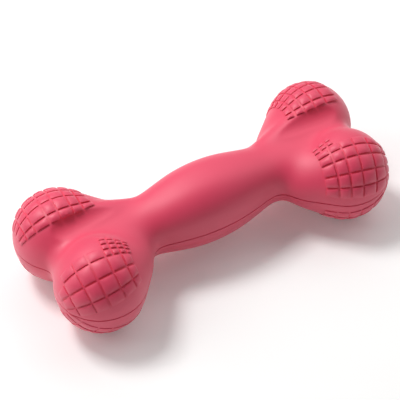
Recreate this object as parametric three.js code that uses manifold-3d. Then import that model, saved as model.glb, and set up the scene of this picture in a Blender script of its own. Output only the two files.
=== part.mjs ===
import * as THREE from 'three';
import { mergeGeometries, mergeVertices } from 'three/addons/utils/BufferGeometryUtils.js';
import Module from 'manifold-3d';

const wasm = await Module();
wasm.setup();

// Squeaking chew bone for dogs, in millimetres.
// X runs along the bone, Y across it and Z up; the four lower lobes rest at Z zero.

// Bone outline, measured from the middle of the bone.
const lobeReach = 60;
const lobeSpread = 15.4;
const lobeRadius = 18.5;
const lobeHalfHeight = 19.61;
const tailReach = 39.2;
const tailSpread = 3.2;
const tailRadius = 12.2;
const humpHalfWidth = 15.3;
const humpHalfHeight = 18.3;
const neckReach = 43.9;
const neckHalfWidth = 9.4;
const neckHalfHeight = 11.8;
const saddleReach = 59.7;
const saddleHalfSize = 12;
const saddleRound = 5.8;
const sectionPower = 2.4;
const blend = 2.2;

// Waffle pads on the lobes.
const padsRoundHalfLobe = 11;
const padTurn = THREE.MathUtils.degToRad(10);
const padColumnsToShaft = 2;
const padColumnsToEnd = 3;
const padHeight = 0.8;
const grooveFloor = 0.25;
const grooveWidth = 1.1;
const edgeRowShare = 0.65;
const seamLip = 0.5;
const padRoot = 1.4;

// Half shells and how they meet.
const wall = 4;
const fit = 0.3;
const tongueInset = 1.5;
const tongueWidth = 1.1;
const tongueHeight = 1.2;

// Squeaker.
const bulbRadius = 8;
const bulbLength = 20;
const bulbWall = 1;
const neckTubeRadius = 4.6;
const neckTubeLength = 7;
const flangeThickness = 1.2;
const reedWidth = 3;
const reedThickness = 0.4;
const reedSetback = 1;
const channelWidth = 2;
const channelDepth = 1.3;

// Fineness of the curved surfaces.
const shaftSteps = 11;
const lobeSteps = 20;
const crossSteps = 7;
const ringShaftSteps = 5;
const ringLobeSteps = 13;
const innerStations = 10;
const innerRound = 16;
const squeakerRound = 20;
const bulbSteps = 6;
const mergeGap = 0.0005;

const padStep = Math.PI / padsRoundHalfLobe;
const beyond = 2 * (lobeReach + lobeRadius);
const lobeRise = lobeHalfHeight / lobeRadius;
const tailLength = Math.hypot(lobeReach - tailReach, lobeSpread - tailSpread);
const tailDirection = new THREE.Vector2(tailReach - lobeReach, tailSpread - lobeSpread).normalize();
const quadrants = [[1, 1], [-1, 1], [-1, -1], [1, -1]];

function ease(t) {
  const share = THREE.MathUtils.clamp(t, 0, 1);
  return 0.5 - 0.5 * Math.cos(Math.PI * share);
}

// Half width or half height of the shaft: hump in the middle, slim neck, saddle between the lobes.
function shaftSize(x, hump, neck, saddle) {
  const toNeck = ease(x / neckReach);
  const toSaddle = ease((x - neckReach) / (saddleReach - neckReach));
  return hump + (neck - hump) * toNeck + (saddle - neck) * toSaddle;
}

function shaftDistance(x, y, z) {
  const reach = Math.abs(x);
  const halfWidth = shaftSize(reach, humpHalfWidth, neckHalfWidth, saddleHalfSize);
  const halfHigh = shaftSize(reach, humpHalfHeight, neckHalfHeight, saddleHalfSize);
  const across = Math.abs(y / halfWidth) ** sectionPower + Math.abs(z / halfHigh) ** sectionPower;
  const past = Math.max(reach - saddleReach, 0) / saddleRound;
  const size = Math.hypot(past, across ** (1 / sectionPower));
  return (size - 1) * Math.min(halfWidth, halfHigh);
}

// Drop shape: a round lobe whose tail runs into the shaft; negative inside.
function lobeDistance(x, y, z) {
  const dx = Math.abs(x) - lobeReach;
  const dy = y - lobeSpread;
  const along = dx * tailDirection.x + dy * tailDirection.y;
  const beside = dx * tailDirection.y - dy * tailDirection.x;
  const off = Math.hypot(beside, z / lobeRise);
  const lean = (lobeRadius - tailRadius) / tailLength;
  const level = Math.sqrt(1 - lean * lean);
  const run = along * level - off * lean;
  if (run < 0) {
    return Math.hypot(along, off) - lobeRadius;
  }
  if (run > tailLength * level) {
    return Math.hypot(along - tailLength, off) - tailRadius;
  }
  return along * lean + off * level - lobeRadius;
}

// Shaft and the two lobes of an end, softly blended where they meet.
function boneDistance(x, y, z) {
  const pieces = [shaftDistance(x, y, z), lobeDistance(x, y, z), lobeDistance(x, -y, z)];
  const nearest = Math.min(...pieces);
  const sum = pieces.reduce((total, piece) => total + Math.exp((nearest - piece) / blend), 0);
  return nearest - blend * Math.log(sum);
}

// Where the surface lies between an inside and an outside place, by halving to the last digit.
function crossing(inside, outside, distance) {
  let near = inside;
  let far = outside;
  let middle = (near + far) / 2;
  while (middle !== near && middle !== far) {
    if (distance(middle) < 0) {
      near = middle;
    } else {
      far = middle;
    }
    middle = (near + far) / 2;
  }
  return middle;
}

function heightAt(x, y) {
  return crossing(0, beyond, (z) => boneDistance(x, y, z));
}

const halfHeight = heightAt(lobeReach, lobeSpread) + padHeight;

// Quarter of the plan outline at the parting plane, from mid bone round a lobe to the end notch.
function quarterOutline(inset, alongShaft, roundLobe) {
  const points = [];
  for (let i = 0; i <= alongShaft; i += 1) {
    const x = tailReach * i / alongShaft;
    const y = crossing(0, beyond, (t) => boneDistance(x, t, 0) + inset);
    points.push(new THREE.Vector2(x, y));
  }
  const notch = crossing(tailReach, beyond, (t) => boneDistance(t, 0, 0) + inset);
  const shaftEnd = points[alongShaft];
  const start = Math.PI - Math.atan2(shaftEnd.y - lobeSpread, lobeReach - shaftEnd.x);
  const end = Math.atan2(-lobeSpread, notch - lobeReach);
  for (let i = 1; i < roundLobe; i += 1) {
    const angle = start + (end - start) * i / roundLobe;
    const dx = Math.cos(angle);
    const dy = Math.sin(angle);
    const away = (t) => boneDistance(lobeReach + t * dx, lobeSpread + t * dy, 0) + inset;
    const reach = crossing(0, beyond, away);
    points.push(new THREE.Vector2(lobeReach + reach * dx, lobeSpread + reach * dy));
  }
  points.push(new THREE.Vector2(notch, 0));
  return points;
}

class Patch {
  constructor() {
    this.points = [];
    this.faces = [];
  }

  point(x, y, z) {
    this.points.push(x, y, z);
    return this.points.length / 3 - 1;
  }

  triangle(a, b, c) {
    this.faces.push(a, b, c);
  }

  quad(a, b, c, d) {
    this.triangle(a, b, c);
    this.triangle(a, c, d);
  }

  geometry() {
    const shape = new THREE.BufferGeometry();
    shape.setAttribute('position', new THREE.Float32BufferAttribute(this.points, 3));
    shape.setIndex(this.faces);
    return shape;
  }
}

function mirrored(shape, x, y, z) {
  const copy = shape.clone();
  copy.scale(x, y, z);
  if (x * y * z < 0) {
    const order = copy.index.array;
    for (let i = 0; i < order.length; i += 3) {
      const swap = order[i + 1];
      order[i + 1] = order[i + 2];
      order[i + 2] = swap;
    }
  }
  return copy;
}

function solid(shape) {
  const bare = shape.clone();
  bare.deleteAttribute('normal');
  bare.deleteAttribute('uv');
  const clean = mergeVertices(bare, mergeGap);
  const vertProperties = new Float32Array(clean.attributes.position.array);
  const triVerts = new Uint32Array(clean.index.array);
  return new wasm.Manifold(new wasm.Mesh({ numProp: 3, vertProperties, triVerts }));
}

// Smooth upper half of the bone with a flat parting face, before pads and cavity.
function boneHalf() {
  const rim = quarterOutline(0, shaftSteps, lobeSteps);
  const last = rim.length - 1;
  const patch = new Patch();
  const partingZ = fit / 2;
  const spine = rim.map((point, i) => {
    const past = Math.max(i - shaftSteps, 0) / lobeSteps;
    const step = 1 - (1 - past) ** 2;
    return i <= shaftSteps ? point.x : tailReach + (rim[last].x - tailReach) * step;
  });
  const rows = [];
  const floor = [];
  for (let i = 0; i < last; i += 1) {
    const row = [];
    for (let j = 0; j <= crossSteps; j += 1) {
      const share = 1 - Math.cos(Math.PI / 2 * j / crossSteps);
      const x = rim[i].x + (spine[i] - rim[i].x) * share;
      const y = rim[i].y * (1 - share);
      const z = j === 0 ? partingZ : heightAt(x, y);
      row.push(patch.point(x, y, z));
    }
    rows.push(row);
    floor.push(patch.point(spine[i], 0, partingZ));
  }
  const tip = patch.point(rim[last].x, 0, partingZ);
  for (let i = 0; i + 1 < last; i += 1) {
    for (let j = 0; j < crossSteps; j += 1) {
      patch.quad(rows[i][j], rows[i][j + 1], rows[i + 1][j + 1], rows[i + 1][j]);
    }
    patch.quad(rows[i][0], rows[i + 1][0], floor[i + 1], floor[i]);
  }
  for (let j = 0; j < crossSteps; j += 1) {
    patch.triangle(rows[last - 1][j], rows[last - 1][j + 1], tip);
  }
  patch.triangle(rows[last - 1][0], tip, floor[last - 1]);
  const quarter = patch.geometry();
  return solid(mergeGeometries(quadrants.map(([x, y]) => mirrored(quarter, x, y, 1))));
}

// Point on a lobe, given by its angle from the pad axis and its angle from straight up.
function lobePoint(fromAxis, fromTop, lift) {
  const out = Math.sin(fromAxis) * Math.sin(fromTop);
  const dx = Math.cos(fromAxis) * Math.cos(padTurn) - out * Math.sin(padTurn);
  const dy = Math.cos(fromAxis) * Math.sin(padTurn) + out * Math.cos(padTurn);
  const dz = Math.sin(fromAxis) * Math.cos(fromTop);
  const away = (t) => boneDistance(lobeReach + t * dx, lobeSpread + t * dy, t * dz);
  const reach = crossing(0, beyond, away) + lift;
  return [lobeReach + reach * dx, lobeSpread + reach * dy, reach * dz];
}

// Raised waffle panel of one lobe; the pad on top of the lobe is flat so the bone can rest on it.
function wafflePanel() {
  const columns = [];
  for (let i = -padColumnsToEnd; i <= padColumnsToShaft + 1; i += 1) {
    columns.push(Math.PI / 2 + (i - 0.5) * padStep);
  }
  const rows = [-padStep * (0.5 + edgeRowShare)];
  for (let j = 0; j <= padsRoundHalfLobe / 2 - 0.5; j += 1) {
    rows.push((j - 0.5) * padStep);
  }
  rows.push(Math.PI / 2 - (fit / 2 + seamLip) / lobeRadius);
  const patch = new Patch();
  const floor = columns.map((a) => rows.map((b) => patch.point(...lobePoint(a, b, grooveFloor))));
  const root = columns.map((a) => rows.map((b) => patch.point(...lobePoint(a, b, -padRoot))));
  const lastColumn = columns.length - 1;
  const lastRow = rows.length - 1;
  const insetColumn = grooveWidth / 2 / lobeRadius;
  for (let i = 0; i < lastColumn; i += 1) {
    for (let j = 0; j < lastRow; j += 1) {
      const isRestPad = i === padColumnsToEnd && j === 1;
      const top = [[0, 0], [0, 1], [1, 1], [1, 0]].map(([di, dj]) => {
        const a = columns[i + di] + insetColumn * (1 - 2 * di);
        const b = rows[j + dj] + insetColumn / Math.sin(a) * (1 - 2 * dj);
        const [x, y, z] = lobePoint(a, b, padHeight);
        return patch.point(x, y, isRestPad ? halfHeight : z);
      });
      const foot = [floor[i][j], floor[i][j + 1], floor[i + 1][j + 1], floor[i + 1][j]];
      patch.quad(...top);
      for (let k = 0; k < 4; k += 1) {
        patch.quad(foot[k], foot[(k + 1) % 4], top[(k + 1) % 4], top[k]);
      }
      patch.quad(root[i][j], root[i + 1][j], root[i + 1][j + 1], root[i][j + 1]);
    }
  }
  for (let j = 0; j < lastRow; j += 1) {
    patch.quad(floor[0][j + 1], floor[0][j], root[0][j], root[0][j + 1]);
    patch.quad(floor[lastColumn][j], floor[lastColumn][j + 1], root[lastColumn][j + 1], root[lastColumn][j]);
  }
  for (let i = 0; i < lastColumn; i += 1) {
    patch.quad(floor[i + 1][lastRow], floor[i][lastRow], root[i][lastRow], root[i + 1][lastRow]);
    patch.quad(floor[i][0], floor[i + 1][0], root[i + 1][0], root[i][0]);
  }
  return patch.geometry();
}

// Plain body that follows the inside of the bone: a barrel for the shaft and a drop for each lobe.
function innerBody(inset) {
  const patch = new Patch();
  const rings = [];
  const reachEnd = saddleReach + saddleRound - inset;
  for (let i = 0; i <= innerStations; i += 1) {
    const x = reachEnd * (2 * i / innerStations - 1);
    const halfWidth = shaftSize(Math.abs(x), humpHalfWidth, neckHalfWidth, saddleHalfSize) - inset;
    const halfHigh = shaftSize(Math.abs(x), humpHalfHeight, neckHalfHeight, saddleHalfSize) - inset;
    const ring = [];
    for (let j = 0; j < innerRound; j += 1) {
      const angle = 2 * Math.PI * j / innerRound;
      const y = Math.sign(Math.cos(angle)) * Math.abs(Math.cos(angle)) ** (2 / sectionPower);
      const z = Math.sign(Math.sin(angle)) * Math.abs(Math.sin(angle)) ** (2 / sectionPower);
      ring.push(patch.point(x, y * halfWidth, z * halfHigh));
    }
    rings.push(ring);
  }
  const first = patch.point(-reachEnd, 0, 0);
  const final = patch.point(reachEnd, 0, 0);
  for (let j = 0; j < innerRound; j += 1) {
    const next = (j + 1) % innerRound;
    for (let i = 0; i < innerStations; i += 1) {
      patch.quad(rings[i][j], rings[i][next], rings[i + 1][next], rings[i + 1][j]);
    }
    patch.triangle(first, rings[0][next], rings[0][j]);
    patch.triangle(final, rings[innerStations][j], rings[innerStations][next]);
  }
  const lean = Math.asin((lobeRadius - tailRadius) / tailLength);
  const profile = [];
  const lobeArc = Math.round(innerRound / 2);
  const tailArc = Math.round(innerRound / 4);
  for (let i = 0; i <= lobeArc; i += 1) {
    const angle = Math.PI - (Math.PI / 2 + lean) * i / lobeArc;
    profile.push(dropPoint(0, lobeRadius - inset, angle));
  }
  for (let i = 0; i <= tailArc; i += 1) {
    const angle = (Math.PI / 2 - lean) * (1 - i / tailArc);
    profile.push(dropPoint(tailLength, tailRadius - inset, angle));
  }
  const drop = new THREE.LatheGeometry(profile, innerRound);
  drop.rotateZ(tailDirection.angle() - Math.PI / 2);
  drop.scale(1, 1, lobeRise);
  drop.translate(lobeReach, lobeSpread, 0);
  let body = solid(patch.geometry());
  for (const [x, y] of quadrants) {
    body = body.add(solid(mirrored(drop, x, y, 1)));
  }
  return body;
}

function dropPoint(centre, radius, angle) {
  return new THREE.Vector2(Math.max(radius * Math.sin(angle), 0), centre + radius * Math.cos(angle));
}

// Closed loop of the plan outline, set in from the edge of the bone.
function loop(inset) {
  const out = quarterOutline(inset, ringShaftSteps, ringLobeSteps);
  const back = [...out].reverse();
  const turn = (points, x, y) => points.slice(1).map((p) => new THREE.Vector2(x * p.x, y * p.y));
  return [...turn(back, 1, 1), ...turn(out, -1, 1), ...turn(back, -1, -1), ...turn(out, 1, -1)];
}

// Rib that follows the parting edge all round.
function seamRing(outerInset, innerInset, low, high) {
  const shape = new THREE.Shape(loop(outerInset));
  shape.holes.push(new THREE.Path(loop(innerInset)));
  const rib = new THREE.ExtrudeGeometry(shape, { depth: high - low, bevelEnabled: false });
  rib.translate(0, 0, low);
  return solid(rib);
}

function block(width, depth, height, x, y, z) {
  const shape = new THREE.BoxGeometry(width, depth, height);
  shape.translate(x, y, z);
  return solid(shape);
}

// Turned shape lying along the bone; each profile point is a radius and a place along X.
function turned(profile) {
  const points = profile.map(([radius, along]) => new THREE.Vector2(radius, along));
  const shape = new THREE.LatheGeometry(points, squeakerRound);
  shape.rotateZ(-Math.PI / 2);
  return solid(shape);
}

// Upper shell half: outer skin, waffle panels, cavity and the groove that takes the tongue.
const panel = wafflePanel();
const cavity = innerBody(wall);
let upperSkin = boneHalf();
for (const [x, y] of quadrants) {
  upperSkin = upperSkin.add(solid(mirrored(panel, x, y, 1)));
}
const openHalf = upperSkin.subtract(cavity);
const grooveTop = fit / 2 + tongueHeight;
const groove = seamRing(tongueInset - fit, tongueInset + tongueWidth + fit, -fit, grooveTop);
const upperShell = openHalf.subtract(groove);

// Lower shell half: the same half turned over, with the tongue standing on its edge.
const tongueTop = tongueHeight - fit / 2;
const tongue = seamRing(tongueInset, tongueInset + tongueWidth, -fit / 2 - tongueHeight, tongueTop);
const lowerHalf = solid(mirrored(shapeOf(openHalf), 1, 1, -1));
const lowerShell = lowerHalf.add(tongue);

// Squeaker bulb: thin round bellows whose neck opens towards one end of the bone.
const bulbStart = -(bulbLength + neckTubeLength) / 2;
const bulbCentre = bulbStart + bulbLength / 2;
function bulbCurve(radius, halfLength, neckRadius) {
  const neckAngle = Math.asin(neckRadius / radius);
  const curve = [];
  for (let i = 0; i <= bulbSteps; i += 1) {
    const angle = (Math.PI - neckAngle) * i / bulbSteps;
    curve.push([radius * Math.sin(angle), bulbCentre - halfLength * Math.cos(angle)]);
  }
  return curve;
}
const neckInner = neckTubeRadius - bulbWall;
const neckEnd = bulbStart + bulbLength + neckTubeLength;
const bulbOuter = bulbCurve(bulbRadius, bulbLength / 2, neckTubeRadius);
const bulbInner = bulbCurve(bulbRadius - bulbWall, bulbLength / 2 - bulbWall, neckInner);
const bulbProfile = [
  ...bulbOuter,
  [neckTubeRadius, neckEnd],
  [neckInner, neckEnd],
  ...[...bulbInner].reverse(),
];
const bulb = turned(bulbProfile);

// Reed holder: a flanged plug in the neck, split along its length to clamp the reed.
const plugRadius = neckInner - fit;
const plugStart = neckEnd - neckTubeLength;
const plugEnd = neckEnd + fit + flangeThickness;
const plug = turned([
  [0, plugStart],
  [plugRadius, plugStart],
  [plugRadius, neckEnd + fit],
  [neckTubeRadius, neckEnd + fit],
  [neckTubeRadius, plugEnd],
  [0, plugEnd],
]);
const splitHalf = reedThickness / 2 + fit;
const channel = block(beyond, channelWidth, 2 * channelDepth, 0, 0, 0);
const above = block(beyond, beyond, beyond, 0, 0, beyond / 2 - splitHalf);
const below = block(beyond, beyond, beyond, 0, 0, splitHalf - beyond / 2);
const reedSeat = plug.subtract(above).subtract(channel);
const reedCover = plug.subtract(below).subtract(channel);
const reedLength = plugEnd - plugStart - reedSetback;
const reed = block(reedLength, reedWidth, reedThickness, plugEnd - reedLength / 2, 0, 0);

// Foam core in two halves, with a pocket shaped to the squeaker.
const pocketProfile = [
  ...bulbCurve(bulbRadius + fit, bulbLength / 2 + fit, neckTubeRadius + fit),
  [neckTubeRadius + fit, plugEnd + fit],
  [0, plugEnd + fit],
];
const core = innerBody(wall + fit).subtract(turned(pocketProfile));
const upperCore = core.subtract(block(beyond, beyond, beyond, 0, 0, (fit - beyond) / 2));
const lowerCore = core.subtract(block(beyond, beyond, beyond, 0, 0, (beyond - fit) / 2));

function shapeOf(body) {
  const mesh = body.getMesh();
  const shape = new THREE.BufferGeometry();
  shape.setAttribute('position', new THREE.BufferAttribute(new Float32Array(mesh.vertProperties), 3));
  shape.setIndex(new THREE.BufferAttribute(new Uint32Array(mesh.triVerts), 1));
  return shape;
}

const rubber = { color: 0xdd5a74, roughness: 0.6, metalness: 0 };
const foam = { color: 0xf0e3b8, roughness: 0.95, metalness: 0 };
const whitePlastic = { color: 0xe9e9e4, roughness: 0.4, metalness: 0 };
const film = { color: 0xd8a23c, roughness: 0.3, metalness: 0 };

const group = new THREE.Group();
group.name = 'dog_chew_bone';

function place(name, body, finish) {
  const shape = shapeOf(body);
  shape.computeVertexNormals();
  const mesh = new THREE.Mesh(shape, new THREE.MeshStandardMaterial(finish));
  mesh.name = name;
  mesh.position.z = halfHeight;
  group.add(mesh);
}

place('upper_shell', upperShell, rubber);
place('lower_shell', lowerShell, rubber);
place('upper_core', upperCore, foam);
place('lower_core', lowerCore, foam);
place('squeaker_bulb', bulb, whitePlastic);
place('squeaker_reed_seat', reedSeat, whitePlastic);
place('squeaker_reed', reed, film);
place('squeaker_reed_cover', reedCover, whitePlastic);

export default group;
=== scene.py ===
# %% [markdown]
# # A squeaking chew bone for dogs
# The toy is a hollow bone of soft coral rubber, moulded as an upper and a lower half that are
# bonded along a seam at mid height. Each of its four lobes carries a panel of raised waffle pads.
# A foam core and a squeaker sit inside. The imported CAD model is the frame that every piece is
# fitted to, so it is loaded first, and its box is kept to print beside that of the finished model.

# %% Load the imported frame
import math
from collections import Counter

import bpy
from mathutils import Matrix, Vector


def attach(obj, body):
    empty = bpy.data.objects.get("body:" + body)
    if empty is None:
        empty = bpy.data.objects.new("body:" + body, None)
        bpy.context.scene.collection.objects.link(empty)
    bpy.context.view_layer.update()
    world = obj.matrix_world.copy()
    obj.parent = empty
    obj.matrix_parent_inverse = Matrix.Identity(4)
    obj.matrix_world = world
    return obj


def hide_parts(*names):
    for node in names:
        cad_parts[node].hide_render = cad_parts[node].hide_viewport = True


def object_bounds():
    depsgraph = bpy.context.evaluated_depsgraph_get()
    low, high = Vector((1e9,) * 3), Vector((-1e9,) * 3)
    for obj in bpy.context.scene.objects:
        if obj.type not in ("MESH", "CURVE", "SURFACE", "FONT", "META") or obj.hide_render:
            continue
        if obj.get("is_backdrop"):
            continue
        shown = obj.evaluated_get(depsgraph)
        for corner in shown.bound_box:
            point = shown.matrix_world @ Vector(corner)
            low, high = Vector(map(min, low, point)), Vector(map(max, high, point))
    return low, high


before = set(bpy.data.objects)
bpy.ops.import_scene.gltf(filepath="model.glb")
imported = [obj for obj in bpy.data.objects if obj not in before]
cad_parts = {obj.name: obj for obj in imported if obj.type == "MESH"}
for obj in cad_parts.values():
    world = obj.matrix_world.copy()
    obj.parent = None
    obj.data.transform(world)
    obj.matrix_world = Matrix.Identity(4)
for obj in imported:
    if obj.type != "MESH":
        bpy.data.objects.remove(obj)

MM = 0.001
BODY = "root"
cad_box = [list(corner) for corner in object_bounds()]
PARTING = (cad_box[0][2] + cad_box[1][2]) / 2
print("CAD nodes:", ", ".join(sorted(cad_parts)))
print(f"the halves part {PARTING / MM:.2f} mm above the floor")

# %% [markdown]
# ## Working by hand, in code
# Blender's operators act on what is selected, so each step starts with nothing selected. A new
# piece is an empty mesh at the origin, and the primitives are added to it in edit mode. That way
# the place of every point is in the mesh, and the object itself is never moved, turned or scaled.

# %% Helpers for selecting and finishing
def deselect():
    if bpy.context.object and bpy.context.object.mode != "OBJECT":
        bpy.ops.object.mode_set(mode="OBJECT")
    bpy.ops.object.select_all(action="DESELECT")


def focus(piece):
    deselect()
    piece.select_set(True)
    bpy.context.view_layer.objects.active = piece


def edit(piece):
    focus(piece)
    bpy.ops.object.mode_set(mode="EDIT")
    bpy.ops.mesh.select_all(action="SELECT")


def done():
    bpy.ops.object.mode_set(mode="OBJECT")


def new_piece(name):
    deselect()
    bpy.ops.object.add(type="MESH", location=(0, 0, 0))
    piece = bpy.context.object
    piece.name = piece.data.name = name
    bpy.ops.object.mode_set(mode="EDIT")
    return piece


def pick(piece, test, kind="FACE"):
    """Selects, in edit mode, the faces or points of a piece that pass a test."""
    bpy.ops.mesh.select_mode(type=kind)
    bpy.ops.mesh.select_all(action="DESELECT")
    bpy.ops.object.mode_set(mode="OBJECT")
    for item in {"FACE": piece.data.polygons, "VERT": piece.data.vertices}[kind]:
        item.select = test(item)
    bpy.ops.object.mode_set(mode="EDIT")


def finish_with(piece, kind, **settings):
    """Adds a modifier to a piece and applies it."""
    focus(piece)
    modifier = piece.modifiers.new(kind.title(), kind)
    for name, value in settings.items():
        setattr(modifier, name, value)
    bpy.ops.object.modifier_apply(modifier=modifier.name)


def count(piece):
    triangles = sum(len(face.vertices) - 2 for face in piece.data.polygons)
    return f"{piece.name}: {len(piece.data.polygons)} faces, {triangles} triangles"


# %% [markdown]
# ## The blank of the bone
# A bone like this is one flowing form: a shaft with a hump in the middle, and two round lobes at
# each end whose tails run into the shaft. It could be pushed out of one subdivided cage, but then
# every lobe would need its own loops. Simple solids that overlap are easier to size. Each lobe is
# the hull round a large ball and a small one, which gives a drop. A tapered bar makes the ridge
# that leads from each back lobe down the neck. The shaft is a square with rounded corners,
# extruded from station to station and scaled at each.

# %% Sizes of the blank
# The ball of each lobe: distance along the bone, distance across it, and radius.
LOBES = {
    (1, 1): (62 * MM, 15.4 * MM, 18.7 * MM),
    (1, -1): (59.7 * MM, 15.6 * MM, 19.1 * MM),
    (-1, 1): (61.2 * MM, 15.4 * MM, 19.1 * MM),
    (-1, -1): (58.1 * MM, 15.7 * MM, 19.6 * MM),
}
LOBE_RISE = 1.06
# The small ball that each lobe tapers to, at the back (1) and at the front (-1).
TAILS = {1: (43.5 * MM, 9.7 * MM, 11.2 * MM), -1: (43.2 * MM, 11.9 * MM, 11.3 * MM)}
# Ridge from the top of each back lobe down to the neck: both ends of its middle line (along the
# bone, across it and above the seam), each with a radius.
RIDGE = (
    ((58 * MM, 11 * MM, 10.9 * MM), 7.8 * MM),
    ((29 * MM, 5.4 * MM, 5.6 * MM), 6.4 * MM),
)
# Stations of the shaft from mid bone to its end, in mm: distance, half width and half height.
SHAFT = [
    (0, 16, 17.6),
    (7, 15.7, 17.2),
    (13, 14.9, 16.3),
    (19, 13.6, 14.9),
    (25, 12.4, 13.6),
    (29, 11.5, 12.7),
    (33, 11.8, 12.1),
    (36, 13.2, 11.9),
    (39, 16.8, 12),
    (42, 20.5, 12),
    (48, 23.5, 11.9),
    (58, 18, 11.9),
    (64, 15.5, 11.7),
    (68, 13.5, 10.8),
    (71, 10.5, 8),
    (73, 7, 4),
]
SHAFT_LIFT = 1.3 * MM
CORNER_SHARE, CORNER_SEGMENTS = 0.88, 12
print("lobe radii in mm:", [round(radius / MM, 1) for _, _, radius in LOBES.values()])

# %% Balls, drops and bars
BALL_SEGMENTS, BALL_RINGS = 64, 32
# Ends of the bone (right or left), each above and below the seam.
CORNERS = ((1, 1), (1, -1), (-1, 1), (-1, -1))


def add_hull(*balls):
    """Adds the hull round some balls to the mesh that is being edited."""
    for place, radius in balls:
        bpy.ops.mesh.primitive_uv_sphere_add(
            segments=BALL_SEGMENTS, ring_count=BALL_RINGS, radius=radius, location=place
        )
    bpy.ops.mesh.select_all(action="SELECT")
    bpy.ops.mesh.convex_hull()
    bpy.ops.mesh.select_all(action="SELECT")


def add_drop(x_side, y_side, inset):
    """Adds one lobe with its tail to the mesh that is being edited, and hides it."""
    balls = LOBES[x_side, y_side], TAILS[y_side]
    add_hull(
        *(
            ((x_side * reach, y_side * spread, PARTING), radius - inset)
            for reach, spread, radius in balls
        )
    )
    bpy.ops.transform.resize(value=(1, 1, LOBE_RISE), center_override=(0, 0, PARTING))
    bpy.ops.mesh.hide(unselected=False)


def add_bars(*ends):
    """Adds a round bar at each corner to the mesh that is being edited, and hides it."""
    for x_side, z_side in CORNERS:
        add_hull(
            *(((x_side * x, y, PARTING + z_side * z), radius) for (x, y, z), radius in ends)
        )
        bpy.ops.mesh.hide(unselected=False)


# %% Shaft and whole blank
def add_shaft(inset):
    """Adds the shaft to the mesh that is being edited, station by station."""
    level = PARTING + SHAFT_LIFT
    end = SHAFT[-1][0]
    right = [(x * (1 - inset / MM / end), width, height) for x, width, height in SHAFT]
    left = [(-x, width, height) for x, width, height in reversed(right[1:])]
    now = None
    for station in left + right:
        x = station[0] * MM
        size = [max(half * MM - inset, MM) for half in station[1:]]
        if now is None:
            bpy.ops.mesh.primitive_plane_add(
                size=2, location=(x, 0, level), rotation=(0, math.pi / 2, 0)
            )
            bpy.ops.mesh.bevel(
                offset=CORNER_SHARE, segments=CORNER_SEGMENTS, affect="VERTICES", profile=0.5
            )
            now = [x, 1, 1]
        else:
            bpy.ops.mesh.extrude_region_move(TRANSFORM_OT_translate={"value": (x - now[0], 0, 0)})
        bpy.ops.transform.resize(
            value=(1, size[0] / now[1], size[1] / now[2]), center_override=(x, 0, level)
        )
        now = [x, *size]


def bone_blank(name, inset):
    """Makes the blank, smaller all round by the inset."""
    piece = new_piece(name)
    for x_side, y_side in LOBES:
        add_drop(x_side, y_side, inset)
    add_bars(*((place, radius - inset) for place, radius in RIDGE))
    add_shaft(inset)
    bpy.ops.mesh.reveal()
    bpy.ops.mesh.select_all(action="SELECT")
    bpy.ops.mesh.normals_make_consistent(inside=False)
    done()
    return piece


bone = bone_blank("bone_form", 0)
print(count(bone))

# %% [markdown]
# ## One soft skin
# The solids are fused by a voxel remesh, which keeps only the outside of whatever overlaps.
# Smoothing then melts the creases into the fillets that a mould maker would cut. Smoothing also
# draws a rounded form in a little, so the sizes above are that much larger than the bone. The
# front of each neck has a wider fillet than the rest. A vertex group that fades out on all sides
# lets a second smoothing act there alone.

# %% Fuse and soften the bone
VOXEL = 0.6 * MM
SOFTENING = 150


def soften(piece, rounds, **settings):
    """Smooths a piece. In each round, a point goes half way to the middle of its neighbours."""
    finish_with(piece, "SMOOTH", factor=0.5, iterations=rounds, **settings)


def fuse(piece, voxel, rounds):
    finish_with(piece, "REMESH", mode="VOXEL", voxel_size=voxel)
    soften(piece, rounds)


fuse(bone, VOXEL, SOFTENING)
print(count(bone))

# %% Soften the front of the necks
# Distances along the bone between which the softening comes in and goes out again, and how far in
# front of the middle line it is fully in.
NECK_IN, NECK_OUT, NECK_FRONT = (20 * MM, 29 * MM), (41 * MM, 50 * MM), 6 * MM
NECK_SOFTENING = 320


def neck_share(place):
    along = abs(place.x)
    coming = (along - NECK_IN[0]) / (NECK_IN[1] - NECK_IN[0])
    going = (NECK_OUT[1] - along) / (NECK_OUT[1] - NECK_OUT[0])
    return max(0, min(1, coming, going, -place.y / NECK_FRONT))


neck = bone.vertex_groups.new(name="neck")
softer = {point.index: neck_share(point.co) for point in bone.data.vertices}
softer = {index: share for index, share in softer.items() if share > 0}
for index, share in softer.items():
    neck.add([index], share, "REPLACE")
soften(bone, NECK_SOFTENING, vertex_group="neck")
print(f"{len(softer)} of {len(bone.data.vertices)} points softened further")

# %% [markdown]
# ## The channel between the lobes
# A channel runs between the lobes of each end. Its wall under the back lobe is steep and ends in
# a crisp edge that runs on along the neck, while the front lobe slopes into it softly. A bar with
# a round end, laid a little askew and sliced off in front, cuts that wall out of the soft form. A
# last light smoothing leaves only a small radius on the edge.

# %% Cut the channels
CHANNEL_RADIUS = 8 * MM
# Both ends of the channel's lowest line: distance along the bone, across it, and above the seam.
CHANNEL_ENDS = (
    (36 * MM, 4.2 * MM, 13.9 * MM),
    (95 * MM, -2.2 * MM, 13.2 * MM),
)
CHANNEL_FRONT = -1 * MM
EDGE_SOFTENING = 6


def carve(piece, tool):
    finish_with(piece, "BOOLEAN", object=tool, operation="DIFFERENCE", solver="MANIFOLD")


def discard(*helpers):
    for helper in helpers:
        bpy.data.objects.remove(helper)


channel = new_piece("channel_form")
add_bars(*(((x, y, z + CHANNEL_RADIUS), CHANNEL_RADIUS) for x, y, z in CHANNEL_ENDS))
bpy.ops.mesh.reveal()
bpy.ops.mesh.select_all(action="SELECT")
bpy.ops.mesh.bisect(
    plane_co=(0, CHANNEL_FRONT, 0), plane_no=(0, -1, 0), clear_outer=True, use_fill=True
)
done()
carve(bone, channel)
fuse(bone, VOXEL, EDGE_SOFTENING)
discard(channel)
print(count(bone))

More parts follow.
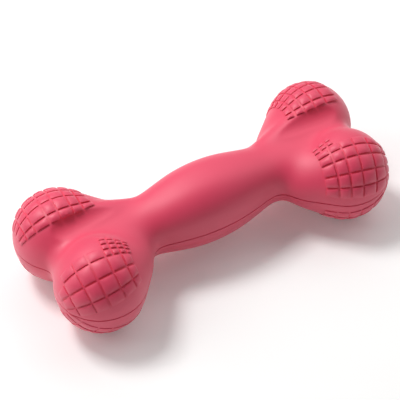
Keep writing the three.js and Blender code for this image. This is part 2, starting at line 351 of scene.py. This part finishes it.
# %% [markdown]
# ## Two halves, cut at the seam
# The bone is moulded in halves that are bonded at mid height, where the real one shows a dark
# hairline. A line could be painted on, but it would have no depth. So each half is a copy of the
# form that a bisect cuts a little larger than it ends up. One more cut just beside it leaves a
# narrow band, and pulling the rim in turns that band into the small lip that the line comes from.
# The last cut trims the rim level.

# %% Cut the halves and turn their lips in
SEAM_GAP = 0.3 * MM
LIP_HEIGHT = 0.35 * MM
LIP_DEPTH = 0.4 * MM
# Width of the rim that is trimmed off in the end, and a little less, to pick its edge by.
TRIM, TRIM_PICK = LIP_HEIGHT / 4, LIP_HEIGHT / 5
CUT_EXACTNESS = 0.00001 * MM
HALVES = {"upper_half": 1, "lower_half": -1}


def copy_of(piece, name):
    focus(piece)
    bpy.ops.object.duplicate()
    copy = bpy.context.object
    copy.name = copy.data.name = name
    return copy


def cut(side, height, **settings):
    """Cuts the mesh that is being edited level, at a height above or below the parting plane."""
    bpy.ops.mesh.select_all(action="SELECT")
    bpy.ops.mesh.bisect(
        plane_co=(0, 0, PARTING + side * height),
        plane_no=(0, 0, side),
        threshold=CUT_EXACTNESS,
        **settings,
    )


def cut_half(piece, side):
    seam = SEAM_GAP / 2
    edit(piece)
    cut(side, seam - TRIM, clear_inner=True)
    cut(side, seam + LIP_HEIGHT)
    pick(piece, lambda point: side * (point.co.z - PARTING) < seam - TRIM_PICK, "VERT")
    bpy.ops.transform.shrink_fatten(value=-LIP_DEPTH)
    cut(side, seam, clear_inner=True, use_fill=True)
    done()


halves = {name: copy_of(bone, name) for name in HALVES}
for name, side in HALVES.items():
    cut_half(halves[name], side)
    print(count(halves[name]))

# %% [markdown]
# ## Waffle panels
# Each lobe has a panel of raised square pads, laid out like the grid on a globe that lies on its
# side. So each panel starts as a UV sphere, cut down to the cells it needs. Its lines are then
# slid to where the mould maker cut them, which is not quite evenly. Insetting every cell on its
# own leaves the grooves, and what is left is shrink-wrapped onto the lobe and given a thickness.
# A bump map would be quicker, but the pads stand out against the outline, so they are modelled.

# %% Lines of the panels, in degrees
# Lobe, turn and tilt of each globe, rings from the bone's end to the shaft, rows from the valley
# outwards, and how much of the full height the pads have in each band between the rows. The front
# lobes have extra patches, with small pads at the corner by the neck.
PANELS = [
    (
        (1, 1), (1.3, 7.4), (65, 87, 103.2, 117.3, 129.8, 140.7),
        (-21, -10.8, 5.5, 18.5, 33, 48, 62, 76, 88), (1, 1, 0.8, 0.65, 0.6, 0.6, 0.5, 0.4),
    ),
    (
        (1, -1), (8.5, 6.7), (32, 51, 72.3, 91.6, 107.5, 122.2, 139.9),
        (-4, 8.6, 22.7, 42.1, 60.8, 78.4), (0.85, 1, 1, 1, 0.9),
    ),
    ((1, -1), (8.5, 6.7), (112, 121, 130.5, 140), (-22, -13, -4), (0.5, 0.7)),
    (
        (-1, 1), (3.6, 10.2), (32, 48.2, 63.9, 83.3, 97.2, 114, 127.7, 143),
        (-22.4, -11, 7.5, 24, 39, 53, 66, 78, 88), (1, 1, 0.7, 0.6, 0.6, 0.6, 0.5, 0.4),
    ),
    (
        (-1, -1), (-8.1, 16.5), (32, 50.3, 72.7, 90.4, 109.7, 127.9, 142),
        (11.9, 32.1, 52.7, 69.4), (1, 1, 0.65),
    ),
    ((-1, -1), (-8.1, 16.5), (50.3, 72.7, 90.4, 109.7), (-3, 11.9), (0.8,)),
    (
        (-1, -1), (-8.1, 16.5), (109.7, 119, 128.5, 138, 147),
        (-25, -16, -7, 2, 11.9), (0.6, 0.9, 0.9, 0.9),
    ),
]
print("bands of pads in each panel:", [len(heights) for *_, heights in PANELS])

# %% Places on a globe
GLOBE_STEP = 15
FIRST_RING, FIRST_ROW = 30, 90


def polar(point):
    return math.degrees(math.acos(point.z / point.length))


def azimuth(point):
    return math.degrees(math.atan2(point.y, point.x)) % 360


def cell(point):
    """The place of a point in the grid of a new globe, counted from the panel's first lines."""
    ring = (polar(point) - FIRST_RING) / GLOBE_STEP
    row = (azimuth(point) - FIRST_ROW) / GLOBE_STEP
    return ring, row


# %% Cut a globe down to the cells of a panel
def globe_cells(radius, rings, rows):
    piece = new_piece("waffle_panel")
    bpy.ops.mesh.primitive_uv_sphere_add(
        segments=360 // GLOBE_STEP, ring_count=180 // GLOBE_STEP, radius=radius
    )

    def unused(face):
        ring, row = cell(face.center)
        return not (0 < ring < len(rings) - 1 and 0 < row < len(rows) - 1)

    pick(piece, unused)
    bpy.ops.mesh.delete(type="FACE")
    done()
    return piece


# %% Slide the lines to their angles
def slide_lines(piece, radius, rings, rows):
    """Moves each ring along the globe's axis, and turns each row about it."""
    line = [[round(x) for x in cell(point.co)] for point in piece.data.vertices]
    bpy.ops.object.mode_set(mode="EDIT")
    for i, angle in enumerate(rings):
        old, new = math.radians(FIRST_RING + GLOBE_STEP * i), math.radians(angle)
        pick(piece, lambda point: line[point.index][0] == i, "VERT")
        stretch = math.sin(new) / math.sin(old)
        bpy.ops.transform.resize(value=(stretch, stretch, 1), center_override=(0, 0, 0))
        slide = radius * (math.cos(new) - math.cos(old))
        bpy.ops.transform.translate(value=(0, 0, slide))
    for i, angle in enumerate(reversed(rows)):
        pick(piece, lambda point: line[point.index][1] == i, "VERT")
        slide = math.radians(180 - angle - FIRST_ROW - GLOBE_STEP * i)
        bpy.ops.transform.rotate(value=-slide, orient_axis="Z", center_override=(0, 0, 0))


# %% Cut the grooves and set the height of each pad
GROOVE = 0.9 * MM
PAD_CUTS = 3
RIM_SHARE = 0.65
# The pads fade out over this many degrees, from these rings towards the bone's end and the shaft.
FADE_END, FADE_SHAFT = (60, 50), (136, 20)


def cut_grooves():
    bpy.ops.mesh.select_mode(type="FACE")
    bpy.ops.mesh.select_all(action="SELECT")
    bpy.ops.mesh.inset(thickness=GROOVE / 2, use_individual=True)
    bpy.ops.mesh.select_all(action="INVERT")
    bpy.ops.mesh.delete(type="FACE")
    bpy.ops.mesh.select_all(action="SELECT")
    done()


def fade(ring):
    (end, end_run), (shaft, shaft_run) = FADE_END, FADE_SHAFT
    return min(1, 1 - (end - ring) / end_run, 1 - (ring - shaft) / shaft_run)


def set_heights(piece, rows, heights):
    """Keeps the height of each pad as a weight of its points, less along the rim."""
    relief = piece.vertex_groups.new(name="relief")
    for face in piece.data.polygons:
        row = (180 - azimuth(face.center)) % 360
        row = row - 360 if row > 180 else row
        band = sum(angle < row for angle in rows) - 1
        height = heights[band] * fade(polar(face.center))
        relief.add(list(face.vertices), height, "REPLACE")
    edit(piece)
    bpy.ops.mesh.subdivide(number_cuts=PAD_CUTS)
    done()
    uses = Counter(key for face in piece.data.polygons for key in face.edge_keys)
    for point in {point for key in uses if uses[key] == 1 for point in key}:
        relief.add([point], relief.weight(point) * RIM_SHARE, "REPLACE")


# %% Make the panels
PANEL_LIFT = 0.4 * MM


def waffle_panel(lobe, axis, rings, rows, heights):
    x_side, y_side = lobe
    turn, tilt = axis
    reach, spread, radius = LOBES[lobe]
    radius += PANEL_LIFT
    piece = globe_cells(radius, rings, rows)
    slide_lines(piece, radius, rings, rows)
    cut_grooves()
    set_heights(piece, rows, heights)
    finish_with(piece, "CAST", factor=1, size=radius, use_radius_as_size=False)
    piece.rotation_euler = (0, math.pi / 2 + math.radians(tilt), math.radians(turn))
    piece.location = (reach, spread, PARTING)
    bpy.ops.object.transform_apply()
    piece.scale = (x_side, y_side, 1)
    bpy.ops.object.transform_apply()
    if x_side * y_side < 0:
        edit(piece)
        bpy.ops.mesh.flip_normals()
        done()
    return piece


pads = [waffle_panel(*panel) for panel in PANELS]
faces_per_pad = (PAD_CUTS + 1) ** 2
print("pads in each panel:", [len(piece.data.polygons) // faces_per_pad for piece in pads])
focus(pads[0])
for piece in pads:
    piece.select_set(True)
bpy.ops.object.join()
waffle = bpy.context.object

# %% Wrap the panels onto the lobes
PAD_HEIGHT = 1 * MM
# The pads of the lower half are flatter by this factor.
LOWER_SHARE = 0.55
# Thickness of a pad with the root that reaches into the wall, and the bevel along its edges.
PAD_ROOT = 1.6 * MM
PAD_EDGE, PAD_EDGE_SEGMENTS, PAD_EDGE_ANGLE = 0.5 * MM, 3, math.radians(50)
# The pads stop this far from the parting plane.
PAD_CLEARANCE = 0.6 * MM


def raise_pads(half, side):
    """Wraps a copy of the panels onto the bone and joins the pads to one half."""
    piece = copy_of(waffle, "pads")
    share = 1 if side > 0 else LOWER_SHARE
    if side < 0:
        edit(piece)
        bpy.ops.transform.resize(value=(1, 1, -1), center_override=(0, 0, PARTING))
        bpy.ops.mesh.flip_normals()
        done()
    finish_with(
        piece, "SHRINKWRAP", target=bone, wrap_method="PROJECT",
        use_negative_direction=True, use_positive_direction=True,
    )
    finish_with(
        piece, "SHRINKWRAP", target=bone, wrap_method="NEAREST_SURFACEPOINT",
        wrap_mode="ABOVE_SURFACE", offset=PAD_HEIGHT * share, vertex_group="relief",
    )
    finish_with(piece, "SOLIDIFY", thickness=PAD_ROOT, offset=-1, use_even_offset=False)
    finish_with(
        piece, "BEVEL", width=PAD_EDGE, segments=PAD_EDGE_SEGMENTS,
        limit_method="ANGLE", angle_limit=PAD_EDGE_ANGLE,
    )
    edit(piece)
    cut(side, PAD_CLEARANCE, clear_inner=True, use_fill=True)
    done()
    finish_with(half, "BOOLEAN", object=piece, operation="UNION", solver="MANIFOLD")
    discard(piece)


for name, side in HALVES.items():
    raise_pads(halves[name], side)
    print(count(halves[name]))

# %% [markdown]
# ## Hollow shells
# The rubber is about four millimetres thick. A Solidify modifier would fold over itself in the
# grooves, so the same blank, made smaller by the wall, is taken out of both halves instead. The
# lowest pads are then pressed flat, because the bone rests on them.

# %% Hollow the halves
WALL = 4 * MM
# Points that are this close to the floor are pressed onto it.
REST = 0.12 * MM
INNER_VOXEL = 1.2 * MM
INNER_SOFTENING = 12
SMOOTH_ANGLE = math.radians(38)

cavity = bone_blank("cavity_form", WALL)
fuse(cavity, INNER_VOXEL, INNER_SOFTENING)
for half in halves.values():
    carve(half, cavity)
edit(halves["lower_half"])
pick(halves["lower_half"], lambda point: point.co.z < REST, "VERT")
bpy.ops.transform.resize(value=(1, 1, 0), center_override=(0, 0, 0))
done()
for half in halves.values():
    focus(half)
    bpy.ops.object.shade_smooth_by_angle(angle=SMOOTH_ANGLE)
    print(count(half))
discard(bone, waffle, cavity)

# %% [markdown]
# ## The foam core
# The rubber halves are filled with open-cell foam, so that the bone springs back after a bite. The
# foam comes in two halves as well, with a pocket for the squeaker between them. It could be a copy
# of the hollow, but foam is cut a little smaller than the place it goes into. So the blank is made
# once more, with a larger inset. The pocket is the hull round two balls, taken out of each half.

# %% Cut the foam core
FOAM_ROOM = 0.7 * MM
POCKET_RADIUS = 8.6 * MM
POCKET_ENDS = (-5.5 * MM, 8 * MM)

core = bone_blank("core_form", WALL + FOAM_ROOM)
fuse(core, INNER_VOXEL, INNER_SOFTENING)
pocket = new_piece("pocket_form")
add_hull(*(((x, 0, PARTING), POCKET_RADIUS) for x in POCKET_ENDS))
done()
cores = {name: copy_of(core, name) for name in ("foam_core_upper", "foam_core_lower")}
for piece, side in zip(cores.values(), HALVES.values()):
    edit(piece)
    cut(side, SEAM_GAP / 2, clear_inner=True, use_fill=True)
    done()
    carve(piece, pocket)
    focus(piece)
    bpy.ops.object.shade_smooth_by_angle(angle=SMOOTH_ANGLE)
    print(count(piece))
discard(core, pocket)

# %% [markdown]
# ## Shader maths
# A finish is a sum of patterns, and wiring each sum by hand hides what it says. So one small class
# wraps a socket, and arithmetic on it adds the Math nodes. Any other node comes from its `node`
# method. A pattern is read from Object coordinates: every piece sits at the origin, so a pattern
# stays at its real scale and never slides.

# %% Socket arithmetic
class Shade:
    """A socket of a material. Arithmetic on it adds Math nodes to the material."""

    def __init__(self, tree, socket=None):
        self.tree = tree
        self.socket = socket

    def node(self, kind, settings=None, inputs=None, output=0):
        made = self.tree.nodes.new(kind)
        for name, value in (settings or {}).items():
            setattr(made, name, value)
        for name, value in (inputs or {}).items():
            if isinstance(value, Shade):
                self.tree.links.new(value.socket, made.inputs[name])
            else:
                made.inputs[name].default_value = value
        return Shade(self.tree, made.outputs[output])

    def math(self, operation, first, second):
        return self.node("ShaderNodeMath", {"operation": operation}, {0: first, 1: second})

    def __add__(self, other):
        return self.math("ADD", self, other)

    def __mul__(self, other):
        return self.math("MULTIPLY", self, other)

    def __rsub__(self, other):
        return self.math("SUBTRACT", other, self)

    __radd__ = __add__
    __rmul__ = __mul__

    def mix(self, first, second):
        """Mixes two colours by this value."""
        return self.node("ShaderNodeMix", {"data_type": "RGBA"}, {0: self, 6: first, 7: second}, 2)

    def into(self, shader, name):
        self.tree.links.new(self.socket, shader.inputs[name])


# %% Helpers for finishes
def new_finish(name, **constants):
    """Makes a material, sets what is the same all over it, and gives its Object coordinates."""
    material = bpy.data.materials.new(name)
    material.use_nodes = True
    tree = material.node_tree
    shader = tree.nodes["Principled BSDF"]
    for key, value in constants.items():
        shader.inputs[key.replace("_", " ").title().replace("Ior", "IOR")].default_value = value
    return material, shader, Shade(tree).node("ShaderNodeTexCoord", output="Object")


def noise(place, scale, detail=3.0, roughness=0.6):
    inputs = {"Vector": place, "Scale": scale, "Detail": detail, "Roughness": roughness}
    return place.node("ShaderNodeTexNoise", {}, inputs)


def bump(height, shader, distance, strength):
    inputs = {"Height": height, "Distance": distance, "Strength": strength}
    height.node("ShaderNodeBump", {}, inputs).into(shader, "Normal")


def linear(red, green, blue):
    """A colour as it looks on screen, in the numbers that the shader works in."""
    parts = [value / 255 for value in (red, green, blue)]
    curve = [v / 12.92 if v <= 0.04045 else ((v + 0.055) / 1.055) ** 2.4 for v in parts]
    return (*curve, 1)


def dress(piece, finish, node):
    """Gives a piece its finish and says which CAD node it stands for."""
    piece.data.materials.clear()
    piece.data.materials.append(finish)
    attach(piece, BODY)
    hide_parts(node)
    print(f"{piece.name} stands for {node}, in {finish.name}")


# %% [markdown]
# ## Coral rubber
# The rubber is coloured all through and comes out of the mould with a soft, slightly dusty face.
# A plain pink would look like paint. Real rubber is a little cloudy, so a broad noise shifts the
# colour and the roughness together, and a very fine one gives the skin its grain. Some sheen
# lightens the rims, as the dusty face does.

# %% Finish the halves in rubber
RUBBER_COLOURS = linear(232, 55, 93), linear(240, 65, 103)
RUBBER_ROUGHNESS, ROUGHNESS_SHIFT = 0.46, 0.12
CLOUDS_PER_METRE, CLOUD_DETAIL = 45, 5
GRAINS_PER_METRE, GRAIN_DEPTH, GRAIN_STRENGTH = 2600, 0.03 * MM, 0.6

rubber, shader, place = new_finish(
    "coral_rubber", sheen_weight=0.3, sheen_roughness=0.5, specular_ior_level=0.8
)
mottle = noise(place, CLOUDS_PER_METRE, CLOUD_DETAIL)
mottle.mix(*RUBBER_COLOURS).into(shader, "Base Color")
(RUBBER_ROUGHNESS + ROUGHNESS_SHIFT * mottle).into(shader, "Roughness")
bump(noise(place, GRAINS_PER_METRE), shader, GRAIN_DEPTH, GRAIN_STRENGTH)
for piece, node in zip(halves.values(), ("upper_shell", "lower_shell")):
    dress(piece, rubber, node)

# %% [markdown]
# ## Open-cell foam
# Upholstery foam is a mass of burst bubbles, each about a millimetre across, and a cut face shows
# them as pits. Modelling the bubbles would take millions of faces. Voronoi cells have the same
# layout: the distance to a cell's edge is low on the thin ribs and high in the pits, so turned
# round it serves as the height. The pits are also painted darker, as painted shade for the light
# that gets lost there.

# %% Finish the core in foam
# The rib colour is the foam's own; the pit colour is painted shade.
RIB_COLOUR, PAINTED_PIT_SHADE_COLOUR = linear(246, 233, 196), linear(214, 193, 142)
CELLS_PER_METRE = 800
PIT_SHADE, PIT_DEPTH, PIT_STRENGTH = 1.4, 0.3 * MM, 0.8
FOAM_CLOUDS_PER_METRE, FOAM_CLOUD_TONE = 60, 0.3

foam, shader, place = new_finish("open_cell_foam", roughness=0.95, specular_ior_level=0.15)
pit = place.node(
    "ShaderNodeTexVoronoi", {"feature": "DISTANCE_TO_EDGE"},
    {"Vector": place, "Scale": CELLS_PER_METRE},
)
cloud = noise(place, FOAM_CLOUDS_PER_METRE, detail=4, roughness=0.55)
# Painted shade that deepens into the pits, plus a random cloud of tone.
painted_pit_shade_and_cloud = PIT_SHADE * pit + FOAM_CLOUD_TONE * cloud
painted_pit_shade_and_cloud.mix(RIB_COLOUR, PAINTED_PIT_SHADE_COLOUR).into(shader, "Base Color")
bump(1 - 2 * pit, shader, PIT_DEPTH, PIT_STRENGTH)
for piece, node in zip(cores.values(), ("upper_core", "lower_core")):
    dress(piece, foam, node)

# %% [markdown]
# ## The squeaker
# A bulb of thin plastic blows air past a reed that is clamped between two holder halves. These
# four pieces have the right shape in the CAD model already, so they stay as they are and only get
# their finishes. The plastic is satin, with faint flow marks along the bone from the moulding. The
# reed is a strip of amber film with fine streaks from rolling.

# %% Satin plastic and amber film
PLASTIC_COLOURS = linear(230, 230, 224), linear(244, 244, 240)
FILM_COLOURS = linear(226, 168, 64), linear(206, 140, 40)
# Streaks to a metre, along the bone and across it.
FLOW_MARKS, ROLLING_MARKS = (60, 420), (90, 2600)
# Least roughness, and how much the streaks add to it.
PLASTIC_ROUGHNESS, FILM_ROUGHNESS, STREAK_SHIFT = 0.34, 0.16, 0.16
# Grains to a metre, and the depth and strength of each bump.
PLASTIC_GRAINS_PER_METRE = 1800
PLASTIC_BUMP, FILM_BUMP = (0.02 * MM, 0.5), (0.01 * MM, 0.4)


def streaks(place, along, across):
    """Noise that is drawn out along the bone."""
    inputs = {"Vector": place, "Scale": (along, across, across)}
    return noise(place.node("ShaderNodeMapping", {}, inputs), 1)


plastic, shader, place = new_finish("satin_white_plastic", specular_ior_level=0.5)
flow = streaks(place, *FLOW_MARKS)
flow.mix(*PLASTIC_COLOURS).into(shader, "Base Color")
(PLASTIC_ROUGHNESS + STREAK_SHIFT * flow).into(shader, "Roughness")
bump(noise(place, PLASTIC_GRAINS_PER_METRE), shader, *PLASTIC_BUMP)
film, shader, place = new_finish("amber_film", specular_ior_level=0.5)
rolled = streaks(place, *ROLLING_MARKS)
rolled.mix(*FILM_COLOURS).into(shader, "Base Color")
(FILM_ROUGHNESS + STREAK_SHIFT * rolled).into(shader, "Roughness")
bump(rolled, shader, *FILM_BUMP)
print("made", plastic.name, "and", film.name)

# %% Finish the squeaker
SQUEAKER = {
    "squeaker_bulb": plastic,
    "squeaker_reed_seat": plastic,
    "squeaker_reed_cover": plastic,
    "squeaker_reed": film,
}
for node, finish in SQUEAKER.items():
    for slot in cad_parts[node].material_slots:
        slot.material = finish
    print(f"{node} is finished in {finish.name}")

# %% [markdown]
# ## Camera
# The camera stands where the photograph was taken from: in front and to the left of the bone, half
# way up to overhead. Its turn, height and lens were found by fitting the outline of the bone, and
# the lens is long, because near and far lobes are almost the same size. The place is built as one
# matrix, read from the right: roll, step back, tilt and turn, then move to the point looked at.

# %% Camera
AZIMUTH, ELEVATION, ROLL = math.radians(-31.06), math.radians(48.734), math.radians(0.452)
DISTANCE = 734.4 * MM
TARGET = Vector((-0.902 * MM, 2.346 * MM, PARTING))
# The sensor is in mm, and the picture's width and the focal length are in pixels.
SENSOR, PICTURE, FOCAL_LENGTH = 36, 400, 1748.2
LENS = FOCAL_LENGTH * SENSOR / PICTURE

turned = Matrix.Rotation(AZIMUTH, 4, "Z") @ Matrix.Rotation(math.pi / 2 - ELEVATION, 4, "X")
bpy.ops.object.camera_add()
camera = bpy.context.object
camera.matrix_world = (
    Matrix.Translation(TARGET)
    @ turned
    @ Matrix.Translation((0, 0, DISTANCE))
    @ Matrix.Rotation(ROLL, 4, "Z")
)
camera.data.lens = LENS
camera.data.sensor_width = SENSOR
bpy.context.scene.camera = camera
print(f"camera {camera.location.length:.3f} m from the origin, lens {LENS:.0f} mm")

# %% [markdown]
# ## White floor
# The bone was photographed on white paper, which runs on behind it without an edge. One large
# plane does that. Paper that is lit to just under white would look grey, so it adds a little
# light of its own, but only for the camera and for reflections, which leaves the bone as it is.

# %% Floor
FLOOR_SIZE = 20
PAPER_COLOURS = linear(249, 249, 248), linear(251, 251, 250)
PAPER_GLOW = 0.12
FIBRE_CLOUDS_PER_METRE = 30

bpy.ops.mesh.primitive_plane_add(size=FLOOR_SIZE, location=(0, 0, 0))
floor = bpy.context.object
floor.name = "floor"
floor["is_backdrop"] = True
paper, shader, place = new_finish(
    "white_paper", roughness=0.9, emission_strength=PAPER_GLOW, specular_ior_level=0
)
fibres = noise(place, FIBRE_CLOUDS_PER_METRE, roughness=0.5)
fibres.mix(*PAPER_COLOURS).into(shader, "Base Color")
camera_ray, glossy_ray, clear_ray = (
    place.node("ShaderNodeLightPath", output=f"Is {kind} Ray")
    for kind in ("Camera", "Glossy", "Transmission")
)
(camera_ray + glossy_ray + clear_ray).into(shader, "Emission Color")
floor.data.materials.append(paper)
print(f"floor {FLOOR_SIZE} m wide, in {paper.name}")

# %% [markdown]
# ## Soft light
# The shadows fall to the front right and are soft, so a small lamp stands behind on the left. A
# very large one, where the camera's view bounces to off a level face, gives the tops their pale
# shine. Two more lamps and a dim, even sky fill in.

# %% Lamps and sky
LAMP_DISTANCE = 1.2
# Direction from the bone, width in metres, and what the lamp adds to the level of a white floor.
LAMPS = [
    ((-0.25, 0.433, 0.866), 0.35, 0.5),
    ((-0.709, 0.41, 0.574), 0.8, 0.155),
    ((0.707, 0, 0.707), 0.8, 0.1),
    ((0.34, 0.565, 0.75), 1.2, 0.2),
]
SKY_LEVEL = 0.15


def softbox(direction, size, floor_level):
    """Soft square lamp aimed at the bone, with the power that lights the floor to a level."""
    towards = Vector(direction).normalized()
    rotation = towards.to_track_quat("Z", "Y").to_euler()
    bpy.ops.object.light_add(type="AREA", location=towards * LAMP_DISTANCE, rotation=rotation)
    lamp = bpy.context.object.data
    lamp.shape = "SQUARE"
    lamp.size = size
    lamp.energy = floor_level * math.pi ** 2 * LAMP_DISTANCE ** 2 / towards.z


for lamp in LAMPS:
    softbox(*lamp)
world = bpy.data.worlds.new("studio")
world.use_nodes = True
bpy.context.scene.world = world
air = world.node_tree.nodes["Background"]
air.inputs["Color"].default_value = (1, 1, 1, 1)
air.inputs["Strength"].default_value = SKY_LEVEL
bpy.context.scene.view_settings.view_transform = "Standard"

# %% [markdown]
# ## Sizes
# The finished model should keep the size of the CAD model, apart from what soft rubber may stand
# proud. Both boxes are printed, the CAD model's first.

# %% Print both boxes
bpy.context.view_layer.update()
sizes = {"cad": cad_box, "visual": [list(corner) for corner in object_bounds()]}
for name, corners in sizes.items():
    print(name, [[round(value / MM, 2) for value in corner] for corner in corners])
